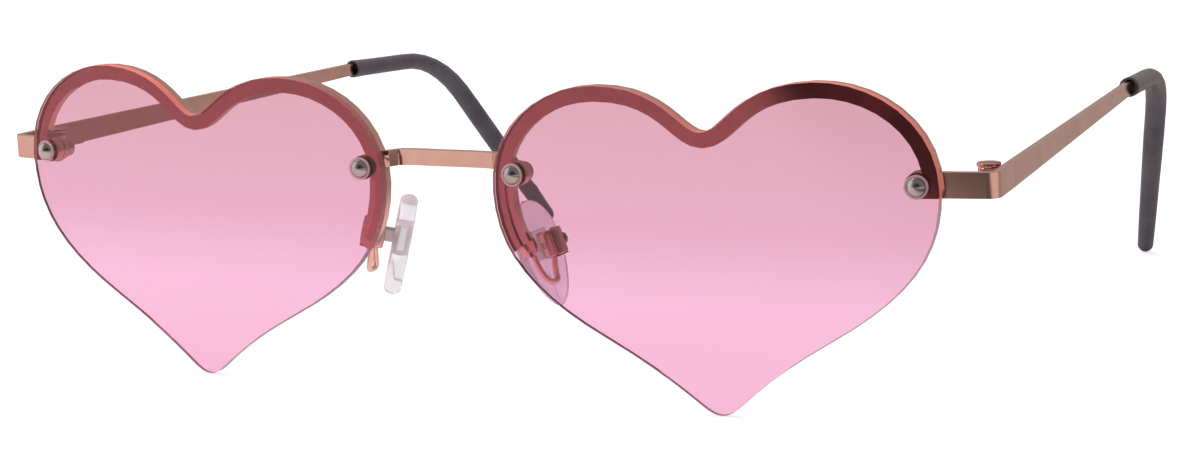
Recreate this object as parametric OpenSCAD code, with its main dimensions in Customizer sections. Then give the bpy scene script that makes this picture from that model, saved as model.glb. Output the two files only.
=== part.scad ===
// Heart shaped sunglasses with screwed lenses, half rims and folding temples.
// The front faces -Y, +X is the wearer's left, and the table is at Z = 0.
// Everything is drawn for the wearer's left, level as it is worn, then mirrored
// for the right and leaned back a little so that it stands on its four low points.

/* [Front] */
// Distance between the two lenses
lens_gap = 16.9; // [16:0.1:19]
// Sweep of each lens backwards towards its temple, in degrees
lens_wrap = 3.1; // [0:0.1:5]
// Lean of the lens tops forwards over level temples, in degrees
lens_lean = 0.9; // [0:0.1:3]

/* [Lens] */
// Width of one heart
lens_w = 59.4; // [57:0.1:61]
// Height of one heart, lobe top to tip
lens_h = 42.2; // [39:0.1:45]
// Thickness of the lens
lens_t = 1.1; // [1:0.1:1.5]
// Radius of the lens's front surface
lens_r = 240; // [180:5:400]
// Turn of the heart that lifts its temple side, in degrees
heart_cant = 1.75; // [0:0.05:3]

/* [Rim] */
// Width of the rim strip behind the lens edge
rim_w = 2; // [1.8:0.1:2.2]
// Width of the rim strip under its nose lug, where the pad arm's rail lies beside it
rim_nose_w = 1.4; // [1.3:0.1:1.6]
// Distance that the rim's outer edge lies inside the lens edge
rim_set = 0.1; // [0.05:0.05:0.3]
// Depth of the rim strip, front to back
rim_t = 1.2; // [1:0.1:1.6]
// How far the rim runs below the lens's centre level on the nose side
rim_nose_end = 5.3; // [4.8:0.1:5.8]
// How far the rim stops above that level on the temple side
rim_temple_end = 3.9; // [3.2:0.1:4.2]

/* [Lens screws] */
// Distance from the heart's widest edge to a screw's axis
screw_inset = 2.95; // [2.7:0.05:3.2]
// Height of the screws over the heart's widest level
screw_rise = 1.35; // [0.6:0.05:1.9]
// Diameter of the domed screw head
dome_d = 2.5; // [2.2:0.1:2.8]
// Height of the domed screw head
dome_h = 0.9; // [0.7:0.05:1.1]
// Diameter of the screw's shank
shank_d = 1.2; // [1:0.05:1.3]
// Outer diameter of the bushing's collar under the head
collar_d = 3; // [2.8:0.1:3.2]
// Thickness of that collar
collar_t = 0.3; // [0.2:0.05:0.5]
// Outer diameter of the bushing's sleeve in the lens hole
sleeve_d = 1.9; // [1.8:0.05:2.1]
// Diameter of the round nut
nut_d = 2.6; // [2.4:0.1:2.8]
// Thickness of the round nut
nut_t = 1.4; // [1.1:0.1:1.7]
// Diameter of the rim's lug round each screw
lug_d = 3.2; // [3:0.1:3.4]

/* [Bridge] */
// Height of the bridge's ends over the lens's centre level
bridge_level = 6.7; // [6.4:0.1:7.4]
// Height of the bridge strip
bridge_h = 2.1; // [1.9:0.05:2.5]
// Thickness of the bridge strip
bridge_t = 1.1; // [0.9:0.1:1.3]
// Rise of the bridge's arch
bridge_rise = 0.5; // [0.2:0.1:1]
// Step that sets the bridge back behind its soldered ends
bridge_step = 1.4; // [1.1:0.05:1.7]
// Slope of that step, in degrees
bridge_slope = 50; // [40:1:60]
// Radius of the step's two bends on the strip's middle
bridge_bend_r = 0.75; // [0.65:0.05:0.9]
// Bow of the bridge's middle towards the front
bridge_bow = 0.8; // [0.3:0.1:1.2]
// Extra half height of the soldered ends
bridge_flare = 0.3; // [0:0.05:0.6]

/* [End pieces] */
// Distance from the outer screw's axis to the corner on the strip's middle
end_l = 9.1; // [8:0.1:10]
// Height of the end piece strip
end_h = 3.2; // [3:0.1:3.4]
// Distance of the strip's middle under the screw's axis
end_drop = 0.2; // [0:0.05:0.4]
// Thickness of the end piece and temple strips
strip_t = 1; // [0.8:0.1:1.1]
// Radius of the end piece's corner on the strip's middle
corner_r = 1.2; // [1:0.1:1.5]

/* [Hinges] */
// Distance from the end piece's corner to the hinge axis, along the temple
hinge_run = 6.5; // [6:0.1:7]
// Outer diameter of the hinge knuckles
knuckle_d = 2.7; // [2.5:0.1:2.9]
// Height of one knuckle
knuckle_h = 0.9; // [0.8:0.05:0.95]
// Thickness of the leaves on the strips' inner faces
leaf_t = 0.6; // [0.5:0.05:0.8]
// Length of the temple's leaf
leaf_l = 5; // [4:0.1:5.5]
// Diameter of the hinge screw's shank
hinge_screw_d = 1.2; // [1:0.05:1.3]
// Diameter of the hinge screw's head
hinge_head_d = 3; // [2.8:0.1:3.2]
// Thickness of the hinge screw's head
hinge_head_t = 0.45; // [0.35:0.05:0.55]
// Distance of the seam between end piece and temple behind the hinge axis
seam_back = 1.4; // [1.2:0.1:1.6]

/* [Temples] */
// Turn of the open temples towards each other, in degrees
temple_toe = 4.6; // [3:0.1:5]
// Distance from the hinge axis to the mouth of the temple tip
tip_start = 74.6; // [70:0.1:80]
// Height of the temple strip at the hinge
arm_h = 3.2; // [3:0.05:3.4]
// Depth that the temple strip enters the tip at full height
arm_entry = 3; // [2:0.1:4]
// Height of the core wire inside the tip
core_h = 1.2; // [1:0.1:1.3]

/* [Temple tips] */
// Slope of the tip's first stretch, down from the temple strip, in degrees
tip_slope = 3; // [0:0.1:4]
// Straight length of the tip before its bend
tip_straight = 15.6; // [13:0.1:18]
// Radius of the tip's bend on its middle line
tip_bend_r = 18.4; // [16:0.1:24]
// Angle of the tip's bend
tip_bend = 51.6; // [48:0.1:56]
// Length of the tip after its bend
tip_drop = 31.2; // [28:0.1:34]
// Lean of the bent tips towards the head, in degrees
tip_lean = 11.7; // [5:0.1:15]
// Largest height of the tip's oval section
tip_h = 3.4; // [3.2:0.1:3.7]
// Largest width of the tip's oval section
tip_w = 3.3; // [3.1:0.1:3.5]
// Length of the core wire's end that the tip covers past its bend
core_drop = 19; // [12:0.5:22]

/* [Nose pads] */
// Length of a nose pad
pad_l = 14.6; // [13:0.1:16]
// Largest width of a nose pad
pad_w = 6.4; // [6:0.1:7.4]
// Thickness of a nose pad
pad_t = 2.3; // [1.9:0.1:2.5]
// Splay of the pads, open towards the face, in degrees
pad_splay = 28; // [24:1:36]
// Rake that sets a pad's foot backwards, in degrees
pad_rake = 11.5; // [8:0.1:16]
// Tilt that brings the pads' tops together, in degrees
pad_tilt = 14; // [8:0.5:18]
// Distance from the pad's pivot to its outer face
pad_off = 2.7; // [2.5:0.05:3]
// Distance of the pad's middle below its pivot
pad_low = 1.2; // [0.8:0.1:2]
// Diameter of the pad arm's wire
wire_d = 0.8; // [0.7:0.05:0.9]
// Width and depth of the pad box
box_w = 3; // [2.8:0.1:3.2]
// Height of the pad box
box_h = 3.6; // [3.4:0.1:3.8]
// Thickness of the stud's tongue between the cheeks
tongue_t = 1.2; // [1:0.1:1.4]
// Diameter of the pad screw
pad_screw_d = 0.8; // [0.7:0.05:0.9]

/* [Hidden] */

// Colours
rose_gold = [0.80, 0.55, 0.47];
pink_tint = [0.93, 0.62, 0.78, 0.55];
silver = [0.80, 0.80, 0.82];
clear_plastic = [0.95, 0.95, 0.96, 0.6];
charcoal = [0.25, 0.23, 0.27];

// Sides, as the wearer has them
left = 1;
right = -1;
// Screws of one lens, towards the temple and towards the nose
outer = 1;
inner = -1;

// Clearances: turned or slid fits on the radius, and faces that lie together
fit_gap = 0.05;
face_gap = 0.03;
// Overrun of every cut, and facets of round pieces and of the lens surfaces
overrun = 1;
round_fn = 48;
surface_fn = 240;

// Outline of half a heart as four Bezier curves from the cleft to the tip, in
// shares of half the lens's width and of its height over the tip
heart_shares = [
    [[0, 0.860], [0.095, 0.860], [0.158, 1], [0.490, 1]],
    [[0.490, 1], [0.753, 1], [1, 0.874], [1, 0.680]],
    [[1, 0.680], [1, 0.481], [0.832, 0.359], [0.510, 0.233]],
    [[0.510, 0.233], [0.092, 0.069], [0.087, 0], [0, 0]]
];
heart_steps = 10;

// Level of the lens's centre and of the heart's widest place over its tip, in
// shares of the heart's height, and what follows from them
drop_share = 0.5746;
widest_share = heart_shares[1][3][1];
lens_pitch = lens_w + lens_gap;
lens_drop = drop_share * lens_h;
screw_level = (widest_share - drop_share) * lens_h + screw_rise;

// Slope of the rim's cut nose end, and small sizes of the screws, hinges and pads
rim_cut_slope = 0.7;
core_t = strip_t - 2 * fit_gap;
eye_sink = 0.06;
sleeve_set = 0.15;
leaf_clear = 0.1;
dome_r = (pow(dome_d / 2, 2) + pow(dome_h, 2)) / (2 * dome_h);
nut_chamfer = 0.25;
leaf_set = 0.3;
hinge_slot_w = 0.35;
hinge_slot_depth = 0.2;
foot_l = 3.8;
foot_w = 2.4;
foot_t = 0.7;
// Width of the pad arm's rail beside the rim, and its set back behind the lens
rail_w = 0.95;
rail_set = 0.3;
// Place of the foot and of the pad's pivot, from the rim's lower nose end
foot_inset = 1.7;
foot_rise = 1.65;
foot_turn = 64;
pivot_out = 1.8;
pivot_back = 3.9;
pivot_low = 0.4;
// Lowest point of the wire's loop, from the pivot, and its depth in the box
loop_low = 5.05;
loop_front = 0.85;
loop_out = 0.3;
wire_sink = 0.2;
pad_screw_head_d = 1.5;
pad_screw_head_t = 0.35;
tongue_h = 1.7;
tongue_gap = 0.15;
stud_plate_t = 0.5;
stud_plate_l = 3.8;
stud_plate_w = 2.6;
wire_sides = 10;
wire_steps = 9;

// Straight lines and turns on the plane
function unit(v) = v / norm(v);
function reversed(p) = [for (i = [len(p) - 1:-1:0]) p[i]];
function turned(p, a) = [p[0] * cos(a) - p[1] * sin(a), p[0] * sin(a) + p[1] * cos(a)];
function bezier(p, t) =
    pow(1 - t, 3) * p[0] + 3 * t * pow(1 - t, 2) * p[1] + 3 * t * t * (1 - t) * p[2] + pow(t, 3) * p[3];

// Outline of an open line thickened by t, both ways
function heading(p, i) = unit(p[min(i + 1, len(p) - 1)] - p[max(i - 1, 0)]);
function beside(p, d) = [for (i = [0:len(p) - 1]) p[i] + d * turned(heading(p, i), 90)];
function ribbon(p, t) = concat(beside(p, t / 2), reversed(beside(p, -t / 2)));

// Closed outline moved inwards by d, for outlines that run clockwise
function inset(p, d) = [
    for (i = [0:len(p) - 1])
        p[i] + d * turned(unit(p[(i + 1) % len(p)] - p[(i + len(p) - 1) % len(p)]), -90)
];

// The heart's outline, clockwise from the cleft as seen from the front
half_heart = [
    for (c = heart_shares, i = [0:heart_steps - 1])
        let (s = bezier(c, i / heart_steps))
        [s[0] * lens_w / 2, s[1] * lens_h - lens_drop]
];
heart_tip = [[0, -lens_drop]];
upright_heart = concat(
    half_heart,
    heart_tip,
    [for (i = [len(half_heart) - 1:-1:1]) [-half_heart[i][0], half_heart[i][1]]]
);
heart = [for (p = upright_heart) turned(p, heart_cant)];

// Places in the lens's own frame, at depth d behind its front surface. The
// surfaces share one centre, lens_r behind the front.
screw_out = lens_w / 2 - screw_inset;
function lens_ray(u, v) = [u, -sqrt(lens_r * lens_r - u * u - v * v), v] / lens_r;
function in_lens(u, v, d) = [0, lens_r, 0] + (lens_r - d) * lens_ray(u, v);
function leaned(p, a) = [p[0], p[1] * cos(a) - p[2] * sin(a), p[1] * sin(a) + p[2] * cos(a)];
function worn(p) =
    let (q = turned([p[0], p[1]], lens_wrap))
    [lens_pitch / 2, 0, 0] + leaned([q[0], q[1], p[2]], lens_lean);

// Depths of the stack behind the lens
rim_front = lens_t + face_gap;
rim_back = rim_front + rim_t;
strip_front = rim_back + face_gap;
strip_back = strip_front + strip_t;

// Middle line of the end piece seen from above: root line, corner, side line
outer_screw = worn(in_lens(screw_out, screw_level, strip_front + strip_t / 2));
root_start = [outer_screw[0], outer_screw[1]];
root_turn = lens_wrap + asin(screw_out / lens_r);
root_dir = [cos(root_turn), sin(root_turn)];
side_dir = turned([0, 1], temple_toe);
corner = root_start + end_l * root_dir;
corner_turn = 90 + temple_toe - root_turn;
corner_cut = corner_r * tan(corner_turn / 2);
corner_centre = corner - corner_cut * root_dir + corner_r * turned(root_dir, 90);
corner_steps = 8;

// Hinge axis and temple frame: x outwards, y along the temple, z up
strip_in = knuckle_d / 2 + leaf_t;
strip_mid = strip_in + strip_t / 2;
strip_out = strip_in + strip_t;
hinge = corner + hinge_run * side_dir - strip_mid * turned([1, 0], temple_toe);
temple_level = outer_screw[2] - end_drop;
function in_temple(p) =
    let (q = turned([p[0], p[1]], temple_toe))
    [hinge[0] + q[0], hinge[1] + q[1], temple_level + p[2]];

side_end3 = in_temple([strip_mid, seam_back - face_gap, 0]);
side_end = [side_end3[0], side_end3[1]];
end_line = concat(
    [root_start],
    [
        for (i = [0:corner_steps])
            corner_centre + corner_r * turned(root_dir, -90 + corner_turn * i / corner_steps)
    ],
    [side_end]
);

// Middle line of the temple tip in the temple's leaning plane: [along, up]
function tip_arc(a) = [tip_straight + tip_bend_r * sin(a), -tip_bend_r * (1 - cos(a))];
function tip_level(l) =
    l < tip_straight ? [l, 0]
    : l < tip_straight + tip_arc_l ? tip_arc((l - tip_straight) / tip_bend_r * 180 / PI)
    : tip_arc(tip_bend) + (l - tip_straight - tip_arc_l) * [cos(tip_bend), -sin(tip_bend)];
function tip_point(l) = [tip_start, 0] + turned(tip_level(l), -tip_slope);
function tip_turn(l) =
    tip_slope + (l < tip_straight ? 0 : min((l - tip_straight) / tip_bend_r * 180 / PI, tip_bend));
tip_arc_l = tip_bend_r * tip_bend * PI / 180;
tip_l = tip_straight + tip_arc_l + tip_drop;
// Height and width of the tip's section in shares of the largest, by length
tip_height_share = [[0, 0.86], [0.06, 0.81], [0.33, 0.79], [0.45, 0.87], [0.7, 1], [0.85, 0.91], [1, 0.79]];
tip_width_share = [[0, 0.91], [0.12, 0.91], [0.4, 1], [0.6, 1], [0.75, 0.92], [0.9, 0.86], [1, 0.79]];
mouth_d = 2.3;
mouth_depth = 0.7;
tip_sides = 16;
tip_rings = 22;
cap_rings = 4;
end_r = tip_h * lookup(1, tip_height_share) / 2;

// How the glasses stand: on both heart tips and on both temple tips
heart_low2 = turned(heart_tip[0], heart_cant);
heart_low = worn(in_lens(heart_low2[0], heart_low2[1], 0));
tip_end2 = tip_point(tip_l);
function in_tip(p) =
    in_temple([
        strip_mid + p[0] * cos(tip_lean) + p[2] * sin(tip_lean),
        p[1],
        -p[0] * sin(tip_lean) + p[2] * cos(tip_lean)
    ]);
tip_end = in_tip([0, tip_end2[0], tip_end2[1]]);
tip_low = tip_end - [0, 0, end_r];
rest_lean = atan2(heart_low[2] - tip_low[2], tip_low[1] - heart_low[1]);
rest_lift = -leaned(heart_low, rest_lean)[2];
front_most = leaned(worn(in_lens(-screw_out, screw_level, -collar_t - dome_h)), rest_lean)[1];
back_most = leaned(tip_end, rest_lean)[1] + end_r;
middle_depth = (front_most + back_most) / 2;
function standing(p, side) =
    let (q = leaned([side * p[0], p[1], p[2]], rest_lean))
    [q[0], q[1] - middle_depth, q[2] + rest_lift];

// Foot of the pad arm, pivot of the pad and loop of the wire, as worn
nose_line = [for (p = heart) if (p[0] < 0 && p[1] < bridge_level + bridge_h && p[1] > -lens_drop / 2) p];
function edge_at(v) = lookup(v, [for (p = nose_line) [p[1], p[0]]]);
foot_v = foot_rise - rim_nose_end;
foot_u = edge_at(foot_v) + foot_inset;
foot = worn(in_lens(foot_u, foot_v, rim_back));
pivot = foot + [pivot_out, pivot_back, -pivot_low];
foot_end2 = [foot_u, foot_v] + (foot_l - foot_w) / 2 * [cos(foot_turn), -sin(foot_turn)];
wire_root = worn(in_lens(foot_end2[0], foot_end2[1], rim_back + face_gap + foot_t / 2));
loop = pivot + [loop_out, -loop_front, -loop_low];
wire_top = pivot - [0, 0, box_h / 2 - wire_sink];
loop_r = (wire_top[1] - wire_root[1]) / 2;
wire_curves = [
    [
        wire_root,
        wire_root + [0, loop_r / 2, -loop_r],
        loop - [loop_out, loop_r, 0],
        loop
    ],
    [
        loop,
        loop + [0, loop_r, 0],
        wire_top - [0, 0, loop_low - box_h / 2],
        wire_top
    ]
];
wire_line = concat(
    [for (i = [0:wire_steps - 1]) bezier(wire_curves[0], i / wire_steps)],
    [for (i = [0:wire_steps]) bezier(wire_curves[1], i / wire_steps)]
);

// Frames that carry the pieces
module standing_frame(side) {
    translate([0, -middle_depth, rest_lift])
        rotate([rest_lean, 0, 0])
            mirror([side == right ? 1 : 0, 0, 0])
                children();
}

module lens_frame() {
    translate([lens_pitch / 2, 0, 0])
        rotate([lens_lean, 0, 0])
            rotate([0, 0, lens_wrap])
                children();
}

// Square to the lens at one screw, y backwards from the front surface
module screw_frame(place) {
    u = place * screw_out;
    translate([0, lens_r, 0])
        rotate([0, 0, asin(u / sqrt(lens_r * lens_r - screw_level * screw_level))])
            rotate([-asin(screw_level / lens_r), 0, 0])
                translate([0, -lens_r, 0])
                    children();
}

module temple_frame() {
    translate([hinge[0], hinge[1], temple_level])
        rotate([0, 0, temple_toe])
            children();
}

module tip_frame() {
    translate([strip_mid, 0, 0])
        rotate([0, tip_lean, 0])
            children();
}

module pad_frame() {
    translate(pivot)
        rotate([pad_rake, 0, -pad_splay])
            rotate([0, -pad_tilt, 0])
                children();
}

// Round piece along y from y0 to y1
module round_y(d, y0, y1) {
    translate([0, y0, 0])
        rotate([-90, 0, 0])
            cylinder(d = d, h = y1 - y0, $fn = round_fn);
}

// Upright outline in x and z, thick from y0 to y1
module slab(outline, y0, y1) {
    translate([0, y1, 0])
        rotate([90, 0, 0])
            linear_extrude(height = y1 - y0)
                polygon(outline);
}

// Upright outline in y and z, thick from x0 to x1
module slab_x(outline, x0, x1) {
    translate([x0, 0, 0])
        rotate([90, 0, 90])
            linear_extrude(height = x1 - x0)
                polygon(outline);
}

// Layer of the lens's curve between two depths behind its front surface
module curved_layer(d0, d1, outline) {
    sag = lens_r - sqrt(lens_r * lens_r - lens_w * lens_w / 4 - lens_drop * lens_drop);
    intersection() {
        slab(outline, d0 - overrun, d1 + sag + overrun);
        difference() {
            translate([0, lens_r, 0])
                sphere(r = lens_r - d0, $fn = surface_fn);
            translate([0, lens_r, 0])
                sphere(r = lens_r - d1, $fn = surface_fn);
        }
    }
}

// Tube of many sides through a list of rings of points
module skin(rings) {
    n = len(rings[0]);
    points = [for (r = rings, p = r) p];
    walls = [
        for (i = [0:len(rings) - 2], j = [0:n - 1])
            let (a = i * n + j, b = i * n + (j + 1) % n)
            each [[a, b, b + n], [a, b + n, a + n]]
    ];
    last = (len(rings) - 1) * n;
    caps = [[for (j = [n - 1:-1:0]) j], [for (j = [0:n - 1]) last + j]];
    polyhedron(points, concat(walls, caps));
}

// Lenses, with a hole for each bushing
module lens() {
    color(pink_tint)
        lens_frame()
            difference() {
                curved_layer(0, lens_t, heart);
                for (place = [outer, inner])
                    screw_frame(place)
                        round_y(sleeve_d + 2 * fit_gap, -overrun, lens_t + overrun);
            }
}

// Where the rims end below, and the nose side under the inner lug
cut_u = lens_w / 2 - rim_set - rim_w / 2;
below_rim = [
    [-lens_w, -rim_nose_end - rim_cut_slope * (lens_w - cut_u)],
    [-cut_u / 2, -rim_nose_end + rim_cut_slope * cut_u / 2],
    [lens_w, rim_temple_end],
    [lens_w, -lens_h],
    [-lens_w, -lens_h]
];
rail_top = screw_level - lug_d / 2;
under_lug = [[-lens_w, rail_top], [0, rail_top], [0, -lens_h], [-lens_w, -lens_h]];

// Rims: a strip behind the lens edge, with a lug round each screw
module rim() {
    color(rose_gold)
        lens_frame()
            difference() {
                union() {
                    difference() {
                        curved_layer(rim_front, rim_back, inset(heart, rim_set));
                        slab(inset(heart, rim_set + rim_w), -overrun, lens_h);
                        slab(below_rim, -overrun, lens_h);
                        intersection() {
                            slab(inset(heart, rim_set + rim_nose_w), -overrun, lens_h);
                            slab(under_lug, -overrun, lens_h);
                        }
                    }
                    for (place = [outer, inner])
                        screw_frame(place)
                            round_y(lug_d, rim_front, rim_back);
                }
                for (place = [outer, inner])
                    screw_frame(place)
                        round_y(shank_d + 2 * fit_gap, -overrun, rim_back + overrun);
            }
}

// Domed screw, its bushing and its round nut, on the outer or inner place
function stack_back(place) = place == outer ? strip_back : rim_back;

module lens_screw(place) {
    color(silver)
        lens_frame()
            screw_frame(place) {
                intersection() {
                    translate([0, dome_r - dome_h - collar_t, 0])
                        sphere(r = dome_r, $fn = round_fn);
                    round_y(dome_d, -collar_t - dome_h - overrun, -collar_t);
                }
                round_y(shank_d, -collar_t, stack_back(place) + face_gap + nut_t);
            }
}

module lens_bushing(place) {
    color(clear_plastic)
        lens_frame()
            screw_frame(place)
                difference() {
                    union() {
                        round_y(collar_d, -collar_t, 0);
                        round_y(sleeve_d, 0, lens_t);
                    }
                    round_y(shank_d + 2 * fit_gap, -overrun, lens_t + overrun);
                }
}

module lens_nut(place) {
    start = stack_back(place) + face_gap;
    bore_r = shank_d / 2 + fit_gap;
    color(silver)
        lens_frame()
            screw_frame(place)
                translate([0, start, 0])
                    rotate([-90, 0, 0])
                        rotate_extrude($fn = round_fn)
                            polygon([
                                [bore_r, 0],
                                [nut_d / 2, 0],
                                [nut_d / 2, nut_t - nut_chamfer],
                                [nut_d / 2 - nut_chamfer, nut_t],
                                [bore_r, nut_t]
                            ]);
}

// Bridge: an arched strip that steps back from the rims, with flared ends
module bridge() {
    root = worn(in_lens(edge_at(bridge_level) + rim_set, bridge_level, rim_front + rim_t / 2));
    bend_run = bridge_bend_r * sin(bridge_slope);
    bend_back = bridge_bend_r * (1 - cos(bridge_slope));
    slope_run = (bridge_step - 2 * bend_back) / tan(bridge_slope);
    step_x = root[0] - 2 * bend_run - slope_run;
    steps = 8;
    bend = [
        for (i = [0:steps])
            let (a = bridge_slope * i / steps)
            bridge_bend_r * [sin(a), 1 - cos(a)]
    ];
    s_line = concat(
        [[-rim_w, 0]],
        bend,
        [for (p = reversed(bend)) [2 * bend_run + slope_run, bridge_step] - p]
    );
    side_line = [for (p = s_line) [root[0] - p[0], root[1] + p[1]]];
    plan = concat(
        side_line,
        [
            for (i = [steps - 1:-1:1 - steps])
                let (s = i / steps)
                [s * step_x, root[1] + bridge_step - bridge_bow * pow(1 - s * s, 2)]
        ],
        [for (p = reversed(side_line)) [-p[0], p[1]]]
    );
    reach = root[0] + rim_w;
    rise_steps = 14;
    spine = [
        for (i = [-rise_steps:rise_steps])
            let (x = reach * i / rise_steps)
            [x, root[2] + bridge_rise * (1 - pow(x / reach, 2))]
    ];
    half_h = [
        for (p = spine)
            bridge_h / 2 + bridge_flare * pow(max(abs(p[0]) - step_x, 0) / (reach - step_x), 2)
    ];
    front = concat(
        [for (i = [0:len(spine) - 1]) spine[i] + [0, half_h[i]]],
        [for (i = [len(spine) - 1:-1:0]) spine[i] - [0, half_h[i]]]
    );
    color(rose_gold)
        standing_frame(left)
            difference() {
                intersection() {
                    translate([0, 0, root[2] - lens_h / 2])
                        linear_extrude(height = lens_h)
                            polygon(ribbon(plan, bridge_t));
                    slab(front, -lens_h, lens_h);
                }
                for (side = [left, right])
                    mirror([side == right ? 1 : 0, 0, 0])
                        lens_frame()
                            slab(inset(heart, rim_set - face_gap), -lens_h, lens_h);
            }
}

// End pieces: an eye behind the rim, a corner and a side up to the seam
module end_piece() {
    color(rose_gold)
        difference() {
            union() {
                translate([0, 0, temple_level - end_h / 2])
                    linear_extrude(height = end_h)
                        polygon(ribbon(end_line, strip_t));
                lens_frame()
                    screw_frame(outer)
                        round_y(end_h, strip_front + eye_sink, strip_back - eye_sink);
            }
            lens_frame()
                screw_frame(outer)
                    round_y(shank_d + 2 * fit_gap, -overrun, strip_back + overrun);
        }
}

// Hinges: heights of the three knuckles, which leave room for the screw's head
knuckle_pitch = knuckle_h + face_gap;
stack_h = 3 * knuckle_h + 2 * face_gap;
stack_low = (end_h - hinge_head_t - stack_h) / 2 - end_h / 2;

module knuckle(level, toward) {
    translate([0, 0, stack_low + level * knuckle_pitch]) {
        cylinder(d = knuckle_d, h = knuckle_h, $fn = round_fn);
        translate([0, toward < 0 ? toward * knuckle_d / 2 : 0, 0])
            cube([strip_in - face_gap, knuckle_d / 2, knuckle_h]);
        translate([knuckle_d / 2, toward < 0 ? -knuckle_d : 0, 0])
            cube([leaf_t - face_gap, knuckle_d, knuckle_h]);
    }
}

module hinge_leaf(levels, toward) {
    from = knuckle_d / 2 + leaf_set;
    length = toward < 0 ? hinge_run - corner_cut - leaf_clear - from : leaf_l;
    color(rose_gold)
        temple_frame()
            difference() {
                union() {
                    for (level = levels)
                        knuckle(level, toward);
                    translate([knuckle_d / 2, toward < 0 ? -from - length : from, stack_low])
                        cube([leaf_t - face_gap, length, stack_h]);
                }
                translate([0, 0, stack_low - overrun])
                    cylinder(
                        d = hinge_screw_d + 2 * fit_gap,
                        h = stack_h + 2 * overrun,
                        $fn = round_fn
                    );
            }
}

module hinge_screw() {
    head_low = stack_low + stack_h + face_gap;
    color(rose_gold)
        temple_frame()
            difference() {
                union() {
                    translate([0, 0, stack_low])
                        cylinder(d = hinge_screw_d, h = stack_h + face_gap, $fn = round_fn);
                    translate([0, 0, head_low])
                        cylinder(d = hinge_head_d, h = hinge_head_t, $fn = round_fn);
                }
                translate([
                    -hinge_head_d,
                    -hinge_slot_w / 2,
                    head_low + hinge_head_t - hinge_slot_depth
                ])
                    cube([2 * hinge_head_d, hinge_slot_w, overrun]);
            }
}

// Temple strips, narrowing to the back, with the core wire of the tip
arm_shares = [[0, 1], [0.15, 0.97], [0.45, 0.78], [1, 0.60]];
arm_end_share = arm_shares[3][1];
mouth_h = arm_h * arm_end_share;

core_steps = 12;
function core_line(from) = concat(
    [tip_point(from)],
    [for (i = [0:core_steps]) tip_point(tip_straight + i / core_steps * tip_arc_l)],
    [tip_point(tip_l - tip_drop + core_drop)]
);

module temple_arm() {
    from = seam_back + face_gap;
    to = tip_start - sleeve_set;
    run = to - from;
    steps = 16;
    edge = [
        for (i = [0:steps])
            let (s = bezier(arm_shares, i / steps))
            [from + s[0] * run, s[1] * arm_h / 2]
    ];
    side_view = concat(edge, [for (p = reversed(edge)) [p[0], -p[1]]]);
    color(rose_gold)
        temple_frame() {
            slab_x(side_view, strip_in, strip_out);
            translate([strip_mid - core_t / 2, to - sleeve_set, fit_gap - mouth_h / 2])
                cube([core_t, arm_entry + 2 * sleeve_set, mouth_h - 2 * fit_gap]);
            tip_frame()
                slab_x(ribbon(core_line(arm_entry / 2), core_h), -core_t / 2, core_t / 2);
        }
}

// Temple tips: an oval tube over the core wire, bent down behind the ear
function tip_ring(l, height, width) =
    let (c = tip_point(l), a = tip_turn(l))
    [
        for (j = [0:tip_sides - 1])
            let (t = 360 * j / tip_sides, up = height / 2 * sin(t))
            [width / 2 * cos(t), c[0] + up * sin(a), c[1] + up * cos(a)]
    ];

module temple_tip() {
    tube = [
        for (i = [0:tip_rings])
            let (s = i / tip_rings)
            tip_ring(s * tip_l, tip_h * lookup(s, tip_height_share), tip_w * lookup(s, tip_width_share))
    ];
    cap = [
        for (i = [1:cap_rings])
            let (a = 80 * i / cap_rings)
            tip_ring(
                tip_l + end_r * sin(a),
                2 * end_r * cos(a),
                tip_w * lookup(1, tip_width_share) * cos(a)
            )
    ];
    mouth = [
        [tip_start - overrun, -mouth_h / 2],
        [tip_start + arm_entry + fit_gap, -mouth_h / 2],
        [tip_start + arm_entry + fit_gap, mouth_h / 2],
        [tip_start - overrun, mouth_h / 2]
    ];
    core = core_line(-overrun);
    color(charcoal)
        temple_frame()
            difference() {
                tip_frame()
                    difference() {
                        skin(concat(tube, cap));
                        slab_x(ribbon(core, core_h + 2 * fit_gap), -strip_t / 2, strip_t / 2);
                        translate([0, tip_start, 0])
                            rotate([-tip_slope, 0, 0])
                                round_y(mouth_d, -overrun, mouth_depth);
                    }
                slab_x(mouth, strip_in, strip_out);
            }
}

// Pad arms: a rail beside the rim, a foot behind it and a wire loop up to the pad box
function wire_ring(i) =
    let (
        along = unit(wire_line[min(i + 1, len(wire_line) - 1)] - wire_line[max(i - 1, 0)]),
        across = unit(cross([1, 0, 0], along)),
        third = cross(across, along)
    )
    [
        for (j = [0:wire_sides - 1])
            let (t = 360 * j / wire_sides)
            wire_line[i] + wire_d / 2 * (cos(t) * across + sin(t) * third)
    ];

module pad_rail() {
    start = rim_set + rim_nose_w + face_gap;
    lens_frame()
        difference() {
            intersection() {
                curved_layer(rim_front + rail_set, rim_back + face_gap + foot_t, inset(heart, start));
                slab(under_lug, -overrun, lens_h);
            }
            slab(inset(heart, start + rail_w), -overrun, lens_h);
            slab(below_rim, -overrun, lens_h);
            screw_frame(inner)
                round_y(lug_d + 2 * face_gap, -overrun, rim_back + overrun);
        }
}

module pad_arm() {
    run = (foot_l - foot_w) / 2;
    outline = [
        for (end = [1, -1], i = [0:8])
            [foot_u, foot_v]
            + end * run * [cos(foot_turn), -sin(foot_turn)]
            + foot_w / 2 * [cos(-foot_turn - 90 + i * 22.5 + (end < 0 ? 180 : 0)),
                            sin(-foot_turn - 90 + i * 22.5 + (end < 0 ? 180 : 0))]
    ];
    color(rose_gold)
        difference() {
            union() {
                lens_frame()
                    curved_layer(rim_back + face_gap, rim_back + face_gap + foot_t, outline);
                pad_rail();
                skin([for (i = [0:len(wire_line) - 1]) wire_ring(i)]);
            }
            pad_frame()
                pad_box_blank(face_gap);
        }
}

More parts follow.
